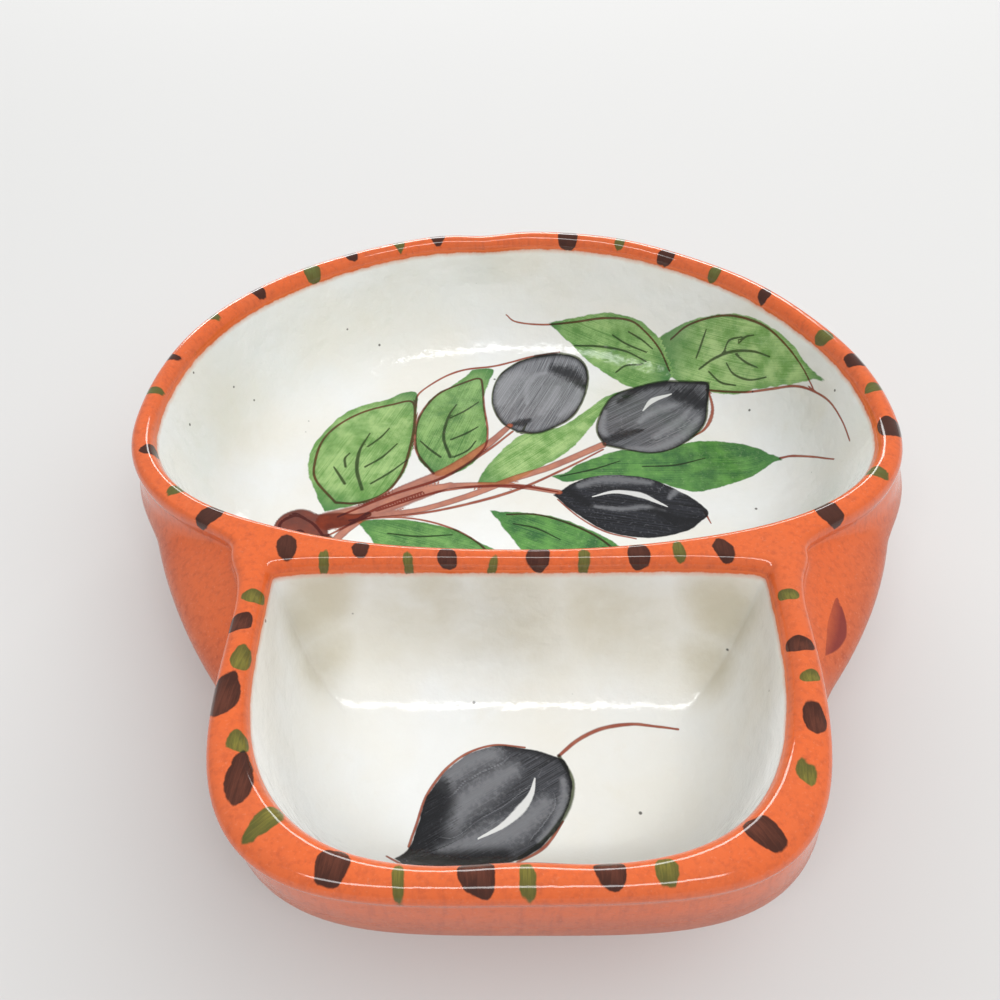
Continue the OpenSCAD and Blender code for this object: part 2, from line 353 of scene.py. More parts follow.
GREEN_DABS = [
    (-81.4, 20.3, 4.4, 2.6, "in"), (-74.2, 48.4, 5, 3, "in"), (-52.6, 68, 5.8, 5, "in"),
    (-31.5, 81, 5, 3.4, "in"), (27.4, 80.6, 4.6, 3.2, "in"), (50.6, 67.2, 4.8, 3.4, "in"),
    (72.3, 40.4, 5, 4, "in"), (78.9, 21.3, 4.8, 3.4, "out"), (71.9, -5.4, 5, 3.4, "out"),
    (-69.4, -9.9, 4.6, 2.8, "out"), (-37.9, -29.2, 5.6, 1.8, "out"), (-22.1, -29.6, 5.8, 2, "out"),
    (-6.4, -30.4, 5.4, 1.8, "out"), (10.8, -29, 5.8, 2.4, "out"), (28.8, -26.8, 4.6, 3, "out"),
    (-49.1, -36.6, 3, 4.8, "up"), (-48.6, -49.6, 4.6, 4.8, "up"), (-45.8, -65.4, 4, 4.2, "up"),
    (-39.4, -78.8, 7.6, 3.8, "out"), (-18.8, -88.4, 6.6, 2, "out"), (-0.3, -88.4, 5.2, 2.4, "out"),
    (19.7, -86.8, 4.4, 3.4, "out"), (43.4, -70.9, 4.2, 3.6, "up"), (47.6, -53.6, 2.2, 4.4, "up"),
    (47.2, -36.4, 2.4, 4.2, "up")]
# A stroke's two ends meet at its waist; their lengths are shares of its own
DAB_WAIST, BLUNT_END, ROUND_END, DAB_SLIM, DAB_REACH = -0.12, 0.4, 0.62, 2.25, 9.0
rim_line = body_rings[-6][:, :2]


def dab_field(plan_points, dabs, seed):
    """Distance to the nearest dab's edge in millimetres, below 0 inside, and the places
    along and across it."""
    shuffle = np.random.default_rng(seed)
    field = np.tile((DAB_REACH, 0.0, 0.0), (len(plan_points), 1))
    for x, y, long, wide, end in dabs:
        place = np.array([x, y]) + body_middle[:2]
        near = np.argmin(np.linalg.norm(rim_line - place, axis=1))
        out = rim_line[near - 1] - rim_line[(near + 1) % BODY_COLS]
        out = np.array([-out[1], out[0]]) / np.linalg.norm(out)
        # Beside the pit bowl and on the divider, strokes run straight up or down the page
        if end == "up" or place[1] > -9 and abs(x) < 55 and y < 0:
            out = np.array([0.0, -1.0])
        turn = shuffle.uniform(-0.1, 0.1) + (0 if end == "out" else math.pi)
        ahead = np.array([out[0] * math.cos(turn) - out[1] * math.sin(turn),
                          out[0] * math.sin(turn) + out[1] * math.cos(turn)])
        off = plan_points - place
        spot = np.where(np.abs(off).max(1) < DAB_REACH)[0]
        u = off[spot] @ ahead / long
        v = off[spot] @ (-ahead[1], ahead[0]) / wide * DAB_SLIM + shuffle.uniform(-0.2, 0.2) * u
        # Blunt where the brush was set down, round where it was lifted
        half = np.where(u < DAB_WAIST, BLUNT_END, ROUND_END)
        reach = np.hypot(v, (u - DAB_WAIST) / half)
        wobble = 0.09 * np.sin(2 * np.arctan2(v, u) + shuffle.uniform(0, 6))
        wobble += 0.05 * np.sin(5 * v + shuffle.uniform(0, 6))
        edge = (reach + wobble - 1) * wide / 2
        closer = edge < field[spot, 0]
        field[spot[closer]] = np.c_[edge, u, v][closer]
    return field


def give_dabs(piece, plan_points):
    give(piece, "black_dab", dab_field(plan_points, BLACK_DABS, 3))
    give(piece, "green_dab", dab_field(plan_points, GREEN_DABS, 5))


give_dabs(body, body_plan)
# A leaf-shaped smudge of red-brown on the right wall, where a loaded brush touched it
SMUDGE_AT, SMUDGE_LONG, SMUDGE_WIDE = (58.2, -11, 31.2), 5.8, 2.9
smudge_up, smudge_side = np.array([0.2, 0.86, -0.1]), np.array([0.78, -0.2, -0.6])
off = body_points - SMUDGE_AT
up, side = off @ smudge_up / SMUDGE_LONG, off @ smudge_side / SMUDGE_WIDE
side += 0.3 * up ** 2 - 0.15
leaf_edge = np.clip(np.abs(up) ** 1.7 + np.maximum(side, -1.7 * side) - 1, -1, 2)
give(body, "smudge", np.c_[up, side, leaf_edge])


def paint(hexes):
    """sRGB hex as Blender's linear colour."""
    parts = [int(hexes[i:i + 2], 16) / 255 for i in (1, 3, 5)]
    return tuple(c / 12.92 if c < 0.04045 else ((c + 0.055) / 1.055) ** 2.4 for c in parts) + (1,)


def add(kind, feeds=None, out=0, **settings):
    """Adds a node with its settings, feeds its sockets and returns one of its outputs."""
    made = tree.nodes.new("ShaderNode" + kind)
    for key, value in settings.items():
        setattr(made, key, value)
    for socket, value in (feeds or {}).items():
        if isinstance(value, bpy.types.NodeSocket):
            tree.links.new(value, made.inputs[socket])
        else:
            made.inputs[socket].default_value = value
    return made.outputs[out] if made.outputs else made


def start_material(name):
    """A new material with an empty tree, which add() then fills."""
    material = bpy.data.materials.new(name)
    material.use_nodes = True
    material.node_tree.nodes.clear()
    return material, material.node_tree


BLEND = {"out": 2, "data_type": "RGBA"}
SOFTLY = {"interpolation_type": "SMOOTHSTEP"}
TIMES = {"operation": "MULTIPLY"}
TIMES_PLUS = {"operation": "MULTIPLY_ADD"}


def marked(colour, marks, share=None):
    """The colour with marks laid over it: what marks, where it starts and ends, cover, tint."""
    for mark, low, high, cover, tint in marks:
        mask = add("MapRange", {0: mark, 1: low, 2: high, 4: cover}, **SOFTLY)
        if share is not None:
            mask = add("Math", {0: mask, 1: share}, **TIMES)
        colour = add("Mix", {0: mask, 6: colour, 7: paint(tint)}, **BLEND)
    return colour


# Red earthenware under one clear gloss glaze, thick on the rim and thinner over the walls:
# the rim is a bright wet orange; the walls are a darker, duller salmon, partly for the thinner
# glaze and partly as painted shade, mottled by grog and iron.
terracotta, tree = start_material("glazed_terracotta")
spot = add("TexCoord", out=3)
height = add("SeparateXYZ", {0: spot}, 2)
cloud = add("TexNoise", {"Vector": spot, "Scale": 1 / (14 * MM), "Detail": 4.0, "Roughness": 0.55})
grog = add("TexNoise", {"Vector": spot, "Scale": 1 / (1.3 * MM), "Detail": 6.0, "Roughness": 0.65})
grain = add("TexNoise", {"Vector": spot, "Scale": 1 / (0.5 * MM), "Detail": 2.0})
drawn = add("VectorMath", {0: spot, 1: (1, 1, 0.16)}, **TIMES)
wiped = add("TexNoise", {"Vector": drawn, "Scale": 1 / (1.1 * MM), "Detail": 3.0})
# The rim's share by height: bright orange at the rim, darker salmon below it, which is partly
# painted shade on the walls
rim_vs_shaded_wall = add("Math", {0: cloud, 1: 3 * MM, 2: height}, **TIMES_PLUS)
rim_vs_shaded_wall = add("MapRange", {0: rim_vs_shaded_wall, 1: 28.5 * MM, 2: 34.5 * MM}, **SOFTLY)
colour = add("Mix", {0: rim_vs_shaded_wall, 6: paint("#BD5F3E"), 7: paint("#DD6632")}, **BLEND)
fainter = add("MapRange", {0: rim_vs_shaded_wall, 3: 1.0, 4: 0.6})
colour = marked(colour, [
    (cloud, 0.35, 0.7, 0.6, "#CE6A42"), (wiped, 0.45, 0.75, 0.5, "#A84B30"),
    (grog, 0.5, 0.72, 0.5, "#9A3F28"), (grain, 0.58, 0.75, 0.3, "#E59470")], fainter)
# The smudge, then the dabs; the glaze covers all of them
smudge = add("Attribute", out=1, attribute_name="smudge")
shape = add("SeparateXYZ", {0: smudge}, 2)
shape = add("Math", {0: cloud, 1: 0.4, 2: shape}, **TIMES_PLUS)
fading = add("MapRange", {0: add("SeparateXYZ", {0: smudge}, 1), 1: -0.7, 2: 0.4, 3: 0.35, 4: 1.0})
mask = add("MapRange", {0: shape, 1: 0.16, 2: 0.26, 3: 0.92, 4: 0.0})
mask = add("Math", {0: mask, 1: fading}, **TIMES)
colour = add("Mix", {0: mask, 6: colour, 7: paint("#7C2C28")}, **BLEND)


def dabbed(colour, spot):
    """The colour with the green and black dabs brushed over it, thin enough to let it through."""
    ragged = add("TexNoise", {"Vector": spot, "Scale": 1 / (2.2 * MM), "Detail": 4.0})
    # The dabs round the main bowl are darker than those in front
    back = add("MapRange", {0: add("SeparateXYZ", {0: spot}, 1), 1: -40 * MM, 2: -15 * MM})
    for name, deep, thin, dark, cover in (("green_dab", "#2C5420", "#68762F", "#3F6A34", 0.88),
                                          ("black_dab", "#100C0B", "#4A291F", "#241714", 0.93)):
        spread = add("Attribute", out=1, attribute_name=name)
        edge, along = [add("SeparateXYZ", {0: spread}, k) for k in range(2)]
        edge = add("Math", {0: ragged, 1: 1.0, 2: edge}, **TIMES_PLUS)
        mask = add("MapRange", {0: edge, 1: 0.45, 2: 0.75, 3: cover, 4: 0.0}, **SOFTLY)
        drawn = add("VectorMath", {0: spread, 1: (0, 1.2, 4.5)}, **TIMES)
        bristle = add("TexNoise", {"Vector": drawn, "Scale": 1.0, "Detail": 5.0, "Roughness": 0.75})
        load = add("Math", {0: bristle, 1: 5.0, 2: along}, **TIMES_PLUS)
        load = add("Math", {0: load, 1: add("MapRange", {0: edge, 1: -2.0, 2: 0.5})})
        load = add("MapRange", {0: load, 1: 1.9, 2: 3.9}, **SOFTLY)
        tone = add("Mix", {0: back, 6: paint(thin), 7: paint(dark)}, **BLEND)
        tone = add("Mix", {0: load, 6: tone, 7: paint(deep)}, **BLEND)
        colour = add("Mix", {0: mask, 6: colour, 7: tone}, **BLEND)
    return colour


colour = dabbed(colour, spot)
# The foot is wiped bare of glaze
glazed = add("MapRange", {0: height, 1: 0.4 * MM, 2: 1.6 * MM})
colour = add("Mix", {0: glazed, 6: paint("#B9694A"), 7: colour}, **BLEND)
rough = add("MapRange", {0: height, 1: 22 * MM, 2: 34 * MM, 3: 0.42, 4: 0.05}, **SOFTLY)
rough = add("Math", {0: grog, 1: 0.06, 2: rough}, **TIMES_PLUS)
orange_peel = add("TexNoise", {"Vector": spot, "Scale": 1 / (5 * MM), "Detail": 2.0})
coarse = add("MapRange", {0: height, 1: 30 * MM, 2: 37.5 * MM, 3: 0.5, 4: 0.06})
skin_relief = add("Math", {0: grog, 1: coarse, 2: orange_peel}, **TIMES_PLUS)
bump = add("Bump", {"Height": skin_relief, "Distance": 0.22 * MM, "Strength": 0.5})
shader = add("BsdfPrincipled", {"Base Color": colour, "Roughness": rough, "Normal": bump,
                                "IOR": 1.5})
add("OutputMaterial", {"Surface": shader})
body.data.materials.append(terracotta)
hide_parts("main_bowl", "pit_bowl")
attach(body, "root")

# Slip coats: cream slip poured into each bowl and tipped out, then the branch and the
# olives painted on with a loaded brush, all under the same clear gloss glaze.
# They stop a little below the lip in a soft line where the red clay shows through.
COAT_COLS, WALL_STEPS, FLOOR_STEP = 550, 70, 0.6
COAT_TOP, THIN_T = 0.32, 0.07
# The coat's hidden back lies in the clay, down from the floor, out of the wall and lower,
# and in the paint plan it lies off the page
BACK_DOWN, BACK_OUT, BACK_LOWER, OFF_PAGE = 0.4, 1.008, 0.2, 500.0
PIT_HUB = 22
# The coat's edge over the lip: the lip's turn there, and how thick the coat is
COAT_EDGE = [(COAT_TOP, -0.12), (0.28, 0.0), (0.22, 0.03), (0.15, 0.05), (0.07, 0.065)]


def coat_piece(name, plan, shares, lip_shares, lip_width, lean, turn_r, hub):
    """A thin closed coat, with its paint plan: the wall laid out flat round the hub."""
    rings = []
    for turn, skin in COAT_EDGE:
        ring = lip_ring(plan, lip_shares, lip_width, turn, COAT_COLS)
        rings.append((ring, skin * math.cos(turn), skin * math.sin(turn)))
    wall = room_wall(plan, shares, lean, turn_r, WALL_STEPS, COAT_COLS)
    for ring, t in zip(wall, np.linspace(0, 1, WALL_STEPS + 1)):
        thick = THIN_T + (SLIP_T - THIN_T) * min(1, 3 * t)
        slope = math.cos(math.pi / 2 * t ** 1.5)
        rings.append((ring, thick * slope, thick * (1 - slope)))
    top = []
    for ring, inward, upward in rings:
        along = (np.roll(ring, 1, 0) - np.roll(ring, -1, 0))[:, :2]
        along = np.c_[along[:, 1], -along[:, 0]] / np.linalg.norm(along, axis=1, keepdims=True)
        top.append(np.c_[ring[:, :2] + along * inward, ring[:, 2] + upward])
    crown = [lip_ring(plan, lip_shares, lip_width, turn, COAT_COLS)
             for turn in np.linspace(math.pi / 2, COAT_TOP, 9)[:-1]]
    plan_places = laid_over(crown + top)[len(crown):]
    floor_edge = top[-1]
    far = np.linalg.norm(floor_edge[:, :2] - hub, axis=1).max()
    for k in np.linspace(1, 0.012, int(far / FLOOR_STEP))[1:]:
        top.append(np.c_[hub + (floor_edge[:, :2] - hub) * k, floor_edge[:, 2]])
    back = [np.c_[hub + (floor_edge[:, :2] - hub) * k, np.full(COAT_COLS, FLOOR_H - BACK_DOWN)]
            for k in (0.02, 0.9)]
    for ring in wall[::-10]:
        middle = ring[:, :2].mean(0)
        back.append(np.c_[middle + (ring[:, :2] - middle) * BACK_OUT, ring[:, 2] - BACK_LOWER])
    rings = np.array(top + back)
    top = np.array(top)
    reach = np.linalg.norm(np.diff(top, axis=0), axis=2)[::-1].cumsum(0)[::-1]
    reach = np.vstack([reach, np.zeros(COAT_COLS)]) + np.linalg.norm(top[-1][:, :2] - hub, axis=1)
    way = top[:, :, :2] - hub
    way /= np.linalg.norm(way, axis=2, keepdims=True)
    laid = np.full((len(rings), COAT_COLS, 2), OFF_PAGE)
    laid[:len(top)] = hub + way * reach[:, :, None]
    index = np.arange(rings.shape[0] * COAT_COLS).reshape(-1, COAT_COLS)
    quads = []
    for k in range(len(rings)):
        if k != len(top) - 1:
            low, high = index[k], index[(k + 1) % len(rings)]
            quads.append(np.c_[low, np.roll(low, -1), np.roll(high, -1), high])
    ends = [index[len(top) - 1].tolist(), index[len(top)][::-1].tolist()]
    piece = mesh_piece(name, rings.reshape(-1, 3), np.vstack(quads).tolist() + ends)
    flat = laid.reshape(-1, 2)
    rim_places = flat.copy()
    rim_places[:len(plan_places) * COAT_COLS] = plan_places.reshape(-1, 2)
    give_dabs(piece, rim_places)
    give(piece, "below", np.c_[SLIP_Z - rings[:, :, 2].ravel(), flat * MM])
    # A layout to bake over, with the coat's hidden back in one corner
    shown = len(top) * COAT_COLS
    low, high = flat[:shown].min(0), flat[:shown].max(0)
    places = (flat - low) / ((high - low).max() * 1.04) + 0.015
    hidden = np.arange(shown, len(flat))
    places[hidden] = 0.002 + 0.008 * (hidden[:, None] % 97) / 97
    corners = np.zeros(len(piece.data.loops), np.int32)
    piece.data.loops.foreach_get("vertex_index", corners)
    layout = piece.data.uv_layers.new(name="OFBake")
    layout.data.foreach_set("uv", places[corners].astype(np.float32).ravel())
    return piece, flat - body_middle[:2]


main_coat, main_flat = coat_piece("cream_slip_olives", main_room, ALL_ROUND, MAIN_LIP_SHARES,
                                  MAIN_LIP, MAIN_LEAN, MAIN_TURN, np.array([0, MAIN_LINE]))
pit_coat, pit_flat = coat_piece("cream_slip_pits", pit_room, SQUARE_BACK, PIT_LIP_SHARES,
                                PIT_LIP, PIT_LEAN, PIT_TURN, np.array([0, -PIT_LINE - PIT_HUB]))


def smooth_line(points, steps=10):
    """A curve through the given points."""
    p = np.array(points, float)
    p = np.vstack([2 * p[0] - p[1], p, 2 * p[-1] - p[-2]])
    out = []
    for a, b, c, d in zip(p, p[1:], p[2:], p[3:]):
        for t in np.linspace(0, 1, steps, endpoint=False):
            out.append(0.5 * ((2 * b) + (c - a) * t + (2 * a - 5 * b + 4 * c - d) * t ** 2
                              + (3 * b - a - 3 * c + d) * t ** 3))
    return np.array(out + [p[-2]])


def from_line(flat, line, room):
    """For the points within some room of a line: which they are, how far and which way from
    it, and the share along it."""
    near = np.where(((flat > line.min(0) - room) & (flat < line.max(0) + room)).all(1))[0]
    spot = flat[near]
    best, way, share = np.full(len(near), 99.0), np.zeros((len(near), 2)), np.zeros(len(near))
    for i, (a, b) in enumerate(zip(line, line[1:])):
        t = np.clip((spot - a) @ (b - a) / ((b - a) @ (b - a) + 1e-9), 0, 1)
        off = spot - a - t[:, None] * (b - a)
        d = np.hypot(*off.T)
        closer = d < best
        best[closer], way[closer] = d[closer], off[closer]
        share[closer] = ((i + t) / (len(line) - 1))[closer]
    return near, best, way, share


def strokes(flat, lines, lift):
    """The way from the nearest brush line, in half widths, so its length is 1 at the line's edge.
    Its third part lifts what lies between two lines clear of both."""
    field, reach = np.tile((9.0, 9.0, 9.0), (len(flat), 1)), np.full(len(flat), 9.0)
    for points, *widths in lines:
        near, distance, way, share = from_line(flat, smooth_line(points), 3 + max(widths))
        half = np.interp(share, [0, 0.5, 1], widths) / 2
        clear = lift * np.clip((distance - half - 0.2) / 0.3, 0, 1)
        closer = distance - half < reach[near]
        reach[near[closer]] = (distance - half)[closer]
        field[near[closer]] = np.c_[way / half[:, None], clear][closer]
    return field


def patches(flat, shapes):
    """Distance to the edge of the nearest brushed patch, below 0 inside, its tone, and the
    places along and across it."""
    field, places = np.tile((9.0, 0.0, 0.0), (len(flat), 1)), np.zeros((len(flat), 3))
    for base, tip, tone, outline in shapes:
        loop = smooth_line(outline + outline[:1], 6)
        near, distance, _, _ = from_line(flat, loop, 4)
        edge = np.where(inside(flat[near], loop[:-1]), -distance, distance)
        axis = np.subtract(tip, base)
        length = np.linalg.norm(axis)
        off = flat[near] - base
        closer = edge < field[near, 0]
        field[near[closer]] = np.c_[edge, np.full(len(near), tone), np.zeros(len(near))][closer]
        across = off @ (-axis[1], axis[0]) / length
        places[near[closer]] = np.c_[off @ axis / length ** 2, across, edge * 0][closer]
    return field, places


# The painting of both bowls, as points in the frame's millimetres with the walls laid
# flat: a common branch with leaves and olives, drawn as free brush strokes
# Leaves: base, tip, depth of the green, outline
LEAVES = [
    ((-45.4, 13.5), (-27.4, 57.5), 0.25, [(-47.4, 13.5), (-50.9, 21), (-53.4, 28), (-53.4, 36.5),
      (-50.4, 43.5), (-45.9, 50), (-39.9, 53.5), (-34.9, 55.5), (-31.4, 58), (-27.4, 58),
      (-27, 49.5), (-26.9, 41.5), (-27.4, 34), (-28.9, 26.5), (-31.9, 21), (-36.4, 17),
      (-41.9, 15)]),
    ((-20.4, 25.5), (-7.4, 67.5), 0.55, [(-20.9, 25.5), (-25.4, 31.5), (-26.9, 40), (-26.4, 48),
      (-22.9, 56.5), (-17.9, 61), (-13.9, 65.5), (-11.4, 67.5), (-6.4, 67.5), (-7.4, 63),
      (-8.9, 56.5), (-8.4, 48), (-7.9, 40), (-9.9, 32.5), (-14.9, 27)]),
    ((-10.4, 22.5), (29.6, 58.5), 0.12, [(-10.4, 23), (-7.9, 29), (-2.9, 36.5), (2.1, 41.5),
      (11.1, 44), (17.6, 49.5), (24.6, 56.5), (30.1, 58.5), (23.1, 49.5), (18.1, 41.5), (13.6, 35),
      (6.1, 29), (-1.4, 23.5), (-6.4, 22)]),
    ((9.6, 80.5), (43.6, 62.5), 0.4, [(9.1, 81), (15.1, 81.5), (23.6, 82.3), (31.6, 81),
      (38.1, 77.5), (42.1, 72.5), (44.1, 67.5), (44.1, 61.5), (38.6, 58.5), (32.1, 59.5),
      (26.1, 64), (20.1, 69.5), (15.6, 75), (12.1, 78.5)]),
    ((42.6, 66.5), (87.6, 37), 0.12, [(42.4, 72), (47.1, 73), (54.1, 73.5), (62.1, 72), (69.6, 69),
      (75.1, 64.5), (80.1, 58), (83.1, 51.5), (84.6, 44.5), (87.6, 37), (83.6, 40.5), (77.6, 43.5),
      (71.6, 46.5), (65.1, 49), (59.1, 50.5), (52.1, 54), (44.1, 59.5), (41.6, 66.5)]),
    ((8.6, 25.5), (67.6, 27), 1.0, [(8.1, 25.5), (12.1, 27), (15.6, 30), (24.6, 34.5), (31.6, 35.5),
      (41.1, 37), (47.6, 38.5), (54.1, 38), (60.6, 34.5), (67.6, 27), (64.6, 27.5), (58.6, 25),
      (51.6, 22), (44.6, 20), (40.1, 21), (33.6, 23.5), (18.6, 24.5), (12.1, 23.5)]),
    ((-7.4, 14), (27.6, -2.5), 1.0, [(-7.4, 14), (-2.9, 13.5), (3.1, 13), (9.6, 11.5), (16.1, 8),
      (20.6, 5), (24.6, 1.5), (28.1, -2.5), (17.1, -3.5), (7.6, -3), (1.1, 0.5), (-2.9, 6.5),
      (-5.4, 11)]),
    ((-39.4, 11), (-3.4, -1.5), 0.85, [(-39.4, 11), (-33.4, 11), (-27.4, 11), (-20.9, 9.5),
      (-14.9, 7.5), (-10.4, 4.5), (-6.9, 2), (-3.4, -1.5), (-13.9, -3.5), (-23.4, -2.5), (-32.4, 1),
      (-36.4, 6.5)])]
# Olives: base, tip, darkness, outline
OLIVES = [
    ((0.1, 42), (13.6, 71.5), 0.1, [(0.1, 42), (-3.9, 45.5), (-6.4, 52), (-6.4, 59), (-4.4, 65.5),
      (0.1, 69.5), (5.6, 71.5), (12.6, 72), (18.1, 70), (20.1, 65), (18.6, 56.5), (15.1, 48.5),
      (10.1, 44), (5.1, 41.5)]),
    ((22.6, 36.5), (53.1, 56.5), 0.5, [(22.6, 37), (21.1, 43), (23.1, 50.5), (27.1, 57),
      (33.1, 59.5), (40.6, 60), (48.1, 58), (53.1, 56), (51.6, 51), (50.1, 45.5), (46.1, 40),
      (40.1, 35.5), (34.6, 34), (29.1, 35)]),
    ((9.1, 19.5), (45.6, 12.5), 1.0, [(8.6, 19), (13.6, 23), (18.6, 25.5), (25.6, 26), (32.1, 25),
      (37.6, 22), (42.1, 18.5), (46.1, 13.5), (44.1, 10.5), (40.6, 7.5), (34.6, 5.5), (29.1, 5),
      (23.6, 6), (18.6, 8.5), (13.6, 13)])]
# Brush lines: points, then width at start, middle and end; the cut butt of the branch first
BUTT = [
    ([(-57.7, 7.5), (-56.3, 10.7), (-53.6, 12), (-50.3, 10.7), (-47.5, 7.5),
      (-47.3, 2.9)], 3, 5, 3),
    ([(-55.8, 3.8), (-51.9, 5.7), (-45.8, 4.1)], 5, 8, 4), ([(-55, 7.5), (-50, 7)], 6, 7, 6),
    ([(-50.2, 9.5), (-44.3, 10.7), (-40.2, 11.1), (-36.5, 12.6)], 6, 4.5, 1.6)]
STEMS = [
    ([(-46, 10.5), (-36.9, 13.6), (-28, 17.6), (-17, 22.5)], 6, 5.6, 2),
    ([(-44.5, 2.6), (-41.9, 6.9), (-38.7, 10.1)], 2, 2.4, 1.6),
    ([(-44.4, 12), (-36.4, 15.5), (-28.9, 20.5), (-18.4, 27), (-8.4, 36.5),
      (-1.9, 44.5)], 2.4, 3.6, 1.6),
    ([(-44.4, 8.5), (-35.9, 12), (-24.4, 14), (-12.9, 18.5), (-1.4, 24.5), (8.6, 29),
      (22.1, 37)], 1.4, 2, 2.2),
    ([(-42.4, 11.5), (-38.4, 13.5), (-30.9, 18), (-21.4, 21.5), (-10.4, 22.5), (0.1, 22),
      (10.1, 20)], 1.6, 2, 1.6)]
# Fine lines in red-brown: points, width at start, middle and end
LINES = [
    ([(-44.9, 16.5), (-50.9, 24.5), (-51.9, 31.5), (-50.9, 39), (-47.4, 45), (-41.4, 50),
      (-33.9, 53), (-28.4, 54), (-27.4, 45.5), (-27.9, 36.5), (-29.4, 27), (-32.9, 20),
      (-38.9, 16.5), (-44.9, 16.5)], 0.7, 0.75, 0.8),
    ([(-21.4, 26.5), (-25.9, 34), (-26.9, 43), (-25.4, 50.5), (-21.4, 57.5), (-14.9, 62),
      (-10.4, 64), (-9.4, 60.5), (-8.9, 52), (-7.9, 43), (-8.4, 36.5),
      (-11.4, 31.5)], 0.8, 0.7, 0.6),
    ([(-27.4, 52), (-26.9, 57.5), (-21.4, 63.5), (-14.9, 67), (-6.4, 68.5), (-0.9, 70), (4.6, 71.5),
      (12.6, 72.5)], 0.6, 0.6, 0.5),
    ([(-2.9, 83.5), (0.1, 81.5), (8.1, 80.5), (17.1, 80.5), (26.6, 80.5), (34.6, 78.5),
      (38.6, 74.5), (41.6, 69), (43.1, 62.5)], 0.4, 0.7, 0.5),
    ([(45.6, 70.5), (52.6, 72.5), (62.1, 71.5), (69.6, 68), (76.6, 61.5), (80.6, 53.5),
      (82.6, 45.5), (83.1, 37.5)], 0.5, 0.75, 0.5),
    ([(52.1, 54.5), (57.6, 52), (63.1, 49.5), (70.6, 46.5), (77.6, 43), (82.1, 38.5), (86.1, 31.5),
      (87.6, 23), (87.6, 15.5)], 0.6, 0.7, 0.5),
    ([(66.6, 28), (70.1, 26.5), (75.6, 22), (81.1, 16)], 0.7, 0.6, 0.4),
    ([(-2.9, 12.5), (4.1, 12.5), (11.1, 10), (17.6, 6), (21.6, 2), (24.6, -2.5)], 0.5, 0.6, 0.6),
    ([(-35.9, 11.5), (-27.9, 11.5), (-20.9, 10), (-14.4, 7), (-9.4, 3),
      (-6.4, -1.5)], 0.5, 0.6, 0.6),
    ([(45.1, 13.5), (46.1, 9.5)], 0.6, 0.5, 0.3),
    ([(9.6, 17.5), (14.6, 11.5), (20.6, 6.9), (27.6, 4.7)], 0.4, 0.5, 0.4),
    ([(52.6, 54.5), (52.6, 48.5), (50.1, 43.5), (46.1, 40)], 0.5, 1.1, 0.4),
    ([(-43.8, 11.9), (-31.7, 19), (-18.5, 25.3), (-8.3, 34.4), (-1.2, 42.2)], 0.6, 1, 0.6),
    ([(-34.6, 13.7), (-18.3, 20.6), (-1.4, 22.2), (9.8, 20.1)], 0.5, 1, 0.5),
    ([(-40.9, 10.7), (-23.5, 13), (-10.4, 16.7), (0.8, 21.4), (12.5, 28.6),
      (22.2, 35.3)], 0.6, 1, 0.5),
    ([(-45.7, 5.7), (-40.7, 9.3), (-34.7, 14.5), (-23.9, 20.1)], 0.5, 0.9, 0.5),
    ([(-57.6, 6.5), (-57.2, 10.1), (-54.8, 12), (-52.7, 12)], 0.7, 0.9, 0.5),
    ([(-53.1, 12), (-49.4, 9.5), (-46.2, 5), (-45.3, 1.9)], 0.6, 0.8, 0.6),
    ([(-54.4, 4), (-53.3, 6.9), (-51.7, 7.2), (-49.8, 4.1)], 0.6, 0.7, 0.5),
    ([(-55.8, 12), (-54.3, 13), (-51.4, 11.4)], 0.4, 0.5, 0.3)]
